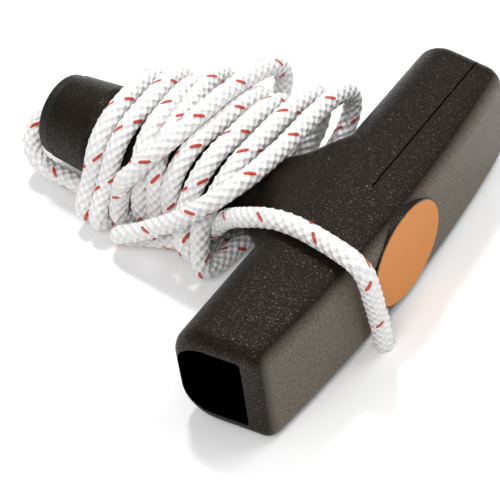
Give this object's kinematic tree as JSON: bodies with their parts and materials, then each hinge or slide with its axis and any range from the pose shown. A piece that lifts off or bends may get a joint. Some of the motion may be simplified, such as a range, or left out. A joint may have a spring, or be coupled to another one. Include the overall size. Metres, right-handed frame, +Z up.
{
  "type": "recoil starter handle",
  "caption": "Black T-shaped pull handle with a hollow bar, an oval palm badge and white braided rope wound round its neck.",
  "frame": {"origin": "on the supporting surface, under the middle of the handle's own box without the rope", "axes": "+X along the bar, +Y from the palm side towards the nose where the rope leaves, +Z up from the face the handle lies on"},
  "size_m": [0.1046, 0.1123, 0.0331],
  "materials": {
    "grip_plastic": "fine spark-textured black plastic",
    "badge_orange": "smooth printed orange label plastic",
    "bush_plastic": "smooth satin black plastic",
    "damper_rubber": "plain moulded rubber",
    "cup_plastic": "plain natural nylon",
    "rope_braid": "white braid with red tracer flecks"
  },
  "bodies": {
    "handle": {"grip_body": "grip_plastic", "palm_badge": "badge_orange", "nose_bush": "bush_plastic", "damper_sleeve": "damper_rubber", "rope_core": "rope_braid", "rope_lead": "rope_braid", "rope_hank": "rope_braid", "rope_tail": "rope_braid"},
    "anchor": {"knot_cup": "cup_plastic", "rope_knot": "rope_braid"}
  },
  "joints": [
    {"name": "damper_slide", "type": "slide", "parent": "handle", "child": "anchor", "axis": [0, 1, 0], "range_m": [0, 0.005], "stiffness_N_per_m": 16000, "deforming": ["damper_sleeve", "rope_core"]}
  ]
}
